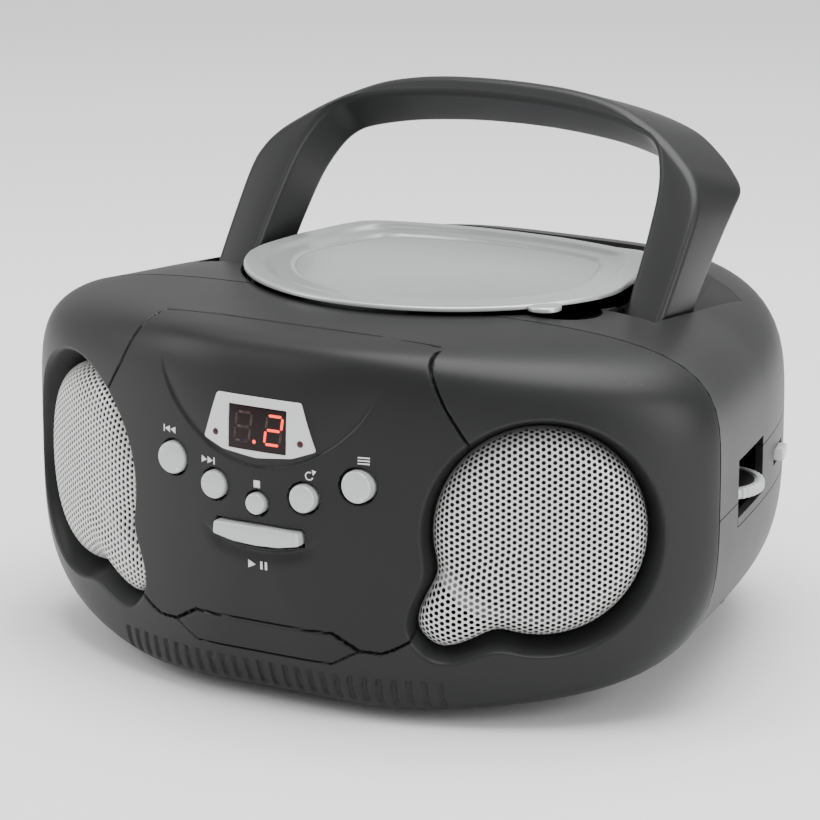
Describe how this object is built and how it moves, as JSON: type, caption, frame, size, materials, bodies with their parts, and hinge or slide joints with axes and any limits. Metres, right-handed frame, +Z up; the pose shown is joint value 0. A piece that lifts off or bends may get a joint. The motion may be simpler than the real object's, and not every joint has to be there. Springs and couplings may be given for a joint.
{
  "type": "boombox",
  "caption": "Portable radio and disc player with rounded dark casing, domed round speaker grilles, centre control panel, top-loading disc lid and a folding carry handle.",
  "frame": {"origin": "middle of the base, on the plane the feet stand on", "axes": "+Z up, the front faces -Y, +X is to the right as seen from the front"},
  "size_m": [0.238, 0.2112, 0.1684],
  "materials": {
    "black_plastic": "fine satin texture, moulded",
    "silver_plastic": "silver paint, satin",
    "bezel_silver": "light silver paint",
    "grille_metal": "perforated sheet, light silver paint",
    "steel": "plain",
    "chrome": "polished",
    "dark_plastic": "plain",
    "circuit_board": "green resist",
    "red_window": "dark red, clear",
    "rubber": "plain",
    "paper_cone": "pressed paper",
    "iron": "plated or laminated iron"
  },
  "bodies": {
    "casing": {"front_shell": "black_plastic", "control_panel": "black_plastic", "badge_plate": "black_plastic", "top_shell": "black_plastic", "bottom_shell": "black_plastic", "side_strip_left": "black_plastic", "side_strip_right": "black_plastic", "cd_well": "black_plastic", "display_bezel": "bezel_silver", "speaker_grille_left": "grille_metal", "speaker_grille_right": "grille_metal", "lid_hinge_pin": "steel", "sled_rod_left": "steel", "sled_rod_right": "steel", "handle_pivot_left": "steel", "handle_pivot_right": "steel", "display_module": "dark_plastic", "battery_tray": "dark_plastic", "mains_inlet": "dark_plastic", "audio_jack": "dark_plastic", "ferrite_rod": "dark_plastic", "speaker_magnet_left": "dark_plastic", "speaker_magnet_right": "dark_plastic", "control_board": "circuit_board", "main_board": "circuit_board", "display_window": "red_window", "power_lamp": "red_window", "stereo_lamp": "red_window", "foot_front_left": "rubber", "foot_front_right": "rubber", "foot_rear_left": "rubber", "foot_rear_right": "rubber", "speaker_cone_left": "paper_cone", "speaker_cone_right": "paper_cone", "speaker_frame_left": "iron", "speaker_frame_right": "iron", "volume_control": "iron", "tuning_capacitor": "iron", "spindle_motor": "iron", "transformer": "iron"},
    "handle": {"handle": "black_plastic"},
    "lid": {"cd_lid": "silver_plastic", "disc_clamp": "dark_plastic"},
    "skip_back": {"skip_back_button": "silver_plastic"},
    "skip_forward": {"skip_forward_button": "silver_plastic"},
    "stop": {"stop_button": "silver_plastic"},
    "repeat": {"repeat_button": "silver_plastic"},
    "program": {"program_button": "silver_plastic"},
    "play_pause": {"play_pause_button": "silver_plastic"},
    "volume": {"volume_wheel": "silver_plastic"},
    "tuning": {"tuning_wheel": "silver_plastic"},
    "function_switch": {"function_slider": "silver_plastic"},
    "band_switch": {"band_slider": "silver_plastic"},
    "battery_cover": {"battery_door": "black_plastic"},
    "hub": {"spindle_hub": "dark_plastic"},
    "sled": {"laser_sled": "dark_plastic"},
    "aerial_base": {"aerial_swivel": "chrome"},
    "aerial_outer": {"aerial_tube": "chrome"},
    "aerial_inner": {"aerial_middle": "chrome"},
    "aerial_end": {"aerial_tip": "chrome"}
  },
  "joints": [
    {"name": "handle_swing", "type": "hinge", "parent": "casing", "child": "handle", "pos_m": [0, 0.0011, 0.0956], "axis": [-1, 0, 0], "range_deg": [-37, 31]},
    {"name": "lid_hinge", "type": "hinge", "parent": "casing", "child": "lid", "pos_m": [0, 0.075, 0.1065], "axis": [1, 0, 0], "range_deg": [-25, 0]},
    {"name": "skip_back_press", "type": "slide", "parent": "casing", "child": "skip_back", "axis": [0, 1, 0], "range_m": [0, 0.0012], "stiffness_N_per_m": 400},
    {"name": "skip_forward_press", "type": "slide", "parent": "casing", "child": "skip_forward", "axis": [0, 1, 0], "range_m": [0, 0.0012], "stiffness_N_per_m": 400},
    {"name": "stop_press", "type": "slide", "parent": "casing", "child": "stop", "axis": [0, 1, 0], "range_m": [0, 0.0012], "stiffness_N_per_m": 400},
    {"name": "repeat_press", "type": "slide", "parent": "casing", "child": "repeat", "axis": [0, 1, 0], "range_m": [0, 0.0012], "stiffness_N_per_m": 400},
    {"name": "program_press", "type": "slide", "parent": "casing", "child": "program", "axis": [0, 1, 0], "range_m": [0, 0.0012], "stiffness_N_per_m": 400},
    {"name": "play_pause_press", "type": "slide", "parent": "casing", "child": "play_pause", "axis": [0, 1, 0], "range_m": [0, 0.0012], "stiffness_N_per_m": 400},
    {"name": "volume_turn", "type": "hinge", "parent": "casing", "child": "volume", "pos_m": [-0.0985, -0.002, 0.056], "axis": [0, 0, 1], "range_deg": [0, 270]},
    {"name": "tuning_turn", "type": "hinge", "parent": "casing", "child": "tuning", "pos_m": [0.0985, -0.002, 0.056], "axis": [0, 0, 1], "range_deg": [-150, 150]},
    {"name": "function_slide", "type": "slide", "parent": "casing", "child": "function_switch", "axis": [0.3012, 0.9536, 0], "range_m": [-0.0045, 0.0045]},
    {"name": "band_slide", "type": "slide", "parent": "casing", "child": "band_switch", "axis": [-0.3012, 0.9536, 0], "range_m": [-0.0045, 0.0045]},
    {"name": "battery_door_hinge", "type": "hinge", "parent": "casing", "child": "battery_cover", "pos_m": [0, -0.0257, 0.003], "axis": [-1, 0, 0], "range_deg": [0, 85]},
    {"name": "hub_spin", "type": "hinge", "parent": "casing", "child": "hub", "pos_m": [0, 0.0085, 0.096], "axis": [0, 0, 1], "continuous": true},
    {"name": "sled_travel", "type": "slide", "parent": "casing", "child": "sled", "axis": [0, 1, 0], "range_m": [-0.002, 0.02]},
    {"name": "aerial_turn", "type": "hinge", "parent": "casing", "child": "aerial_base", "pos_m": [-0.04, 0.101, 0.101], "axis": [0, 0, 1], "range_deg": [0, 90]},
    {"name": "aerial_tilt", "type": "hinge", "parent": "aerial_base", "child": "aerial_outer", "pos_m": [-0.04, 0.101, 0.1026], "axis": [0, -1, 0], "range_deg": [0, 90]},
    {"name": "aerial_inner_slide", "type": "slide", "parent": "aerial_outer", "child": "aerial_inner", "axis": [1, 0, 0], "range_m": [0, 0.062]},
    {"name": "aerial_end_slide", "type": "slide", "parent": "aerial_inner", "child": "aerial_end", "axis": [1, 0, 0], "range_m": [0, 0.062]}
  ]
}
